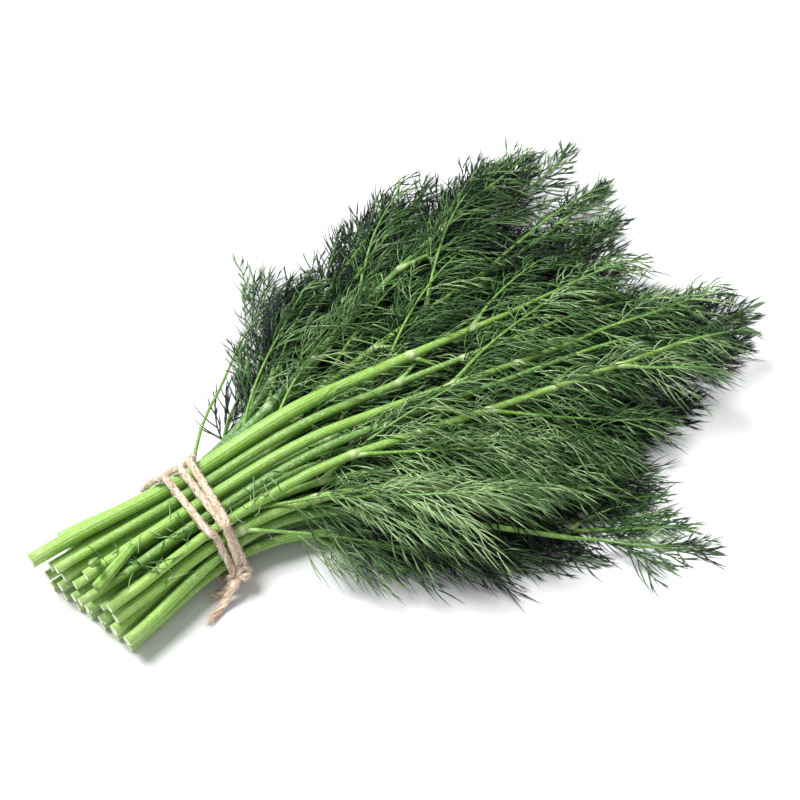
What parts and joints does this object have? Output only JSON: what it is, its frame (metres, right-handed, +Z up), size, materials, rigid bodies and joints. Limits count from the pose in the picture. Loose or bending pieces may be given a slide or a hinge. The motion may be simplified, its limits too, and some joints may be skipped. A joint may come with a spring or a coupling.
{
  "type": "dill bunch",
  "caption": "Bunch of fresh dill lying down: leafy stems with feathery fronds fanned out to one side and bare cut ends at the other, held by knotted jute twine.",
  "frame": {"origin": "on the surface that the bunch lies on, under the middle of its box seen from above", "axes": "+X along the stems from the cut ends to the frond tips, +Y across the bunch, +Z up off the surface"},
  "size_m": [0.3153, 0.2305, 0.054],
  "materials": {
    "dill": "fresh green dill: smooth ribbed stalks and fine matt thread leaflets",
    "jute": "pale tan natural jute twine, hairy"
  },
  "bodies": {
    "root": {"leafy_stem_01": "dill", "leafy_stem_02": "dill", "leafy_stem_03": "dill", "leafy_stem_04": "dill", "leafy_stem_05": "dill", "leafy_stem_06": "dill", "leafy_stem_07": "dill", "leafy_stem_08": "dill", "leafy_stem_09": "dill", "leafy_stem_10": "dill", "leafy_stem_11": "dill", "leafy_stem_12": "dill", "leafy_stem_13": "dill", "leafy_stem_14": "dill", "leafy_stem_15": "dill", "leafy_stem_16": "dill", "leafy_stem_17": "dill", "leafy_stem_18": "dill", "leafy_stem_19": "dill", "leafy_stem_20": "dill", "leafy_stem_21": "dill", "leafy_stem_22": "dill", "leafy_stem_23": "dill", "leafy_stem_24": "dill", "leafy_stem_25": "dill", "leafy_stem_26": "dill", "leafy_stem_27": "dill", "leafy_stem_28": "dill", "leafy_stem_29": "dill", "leafy_stem_30": "dill", "leafy_stem_31": "dill", "leafy_stem_32": "dill", "leafy_stem_33": "dill", "leafy_stem_34": "dill", "leafy_stem_35": "dill", "leafy_stem_36": "dill", "leafy_stem_37": "dill", "twine_tie": "jute"}
  },
  "joints": []
}
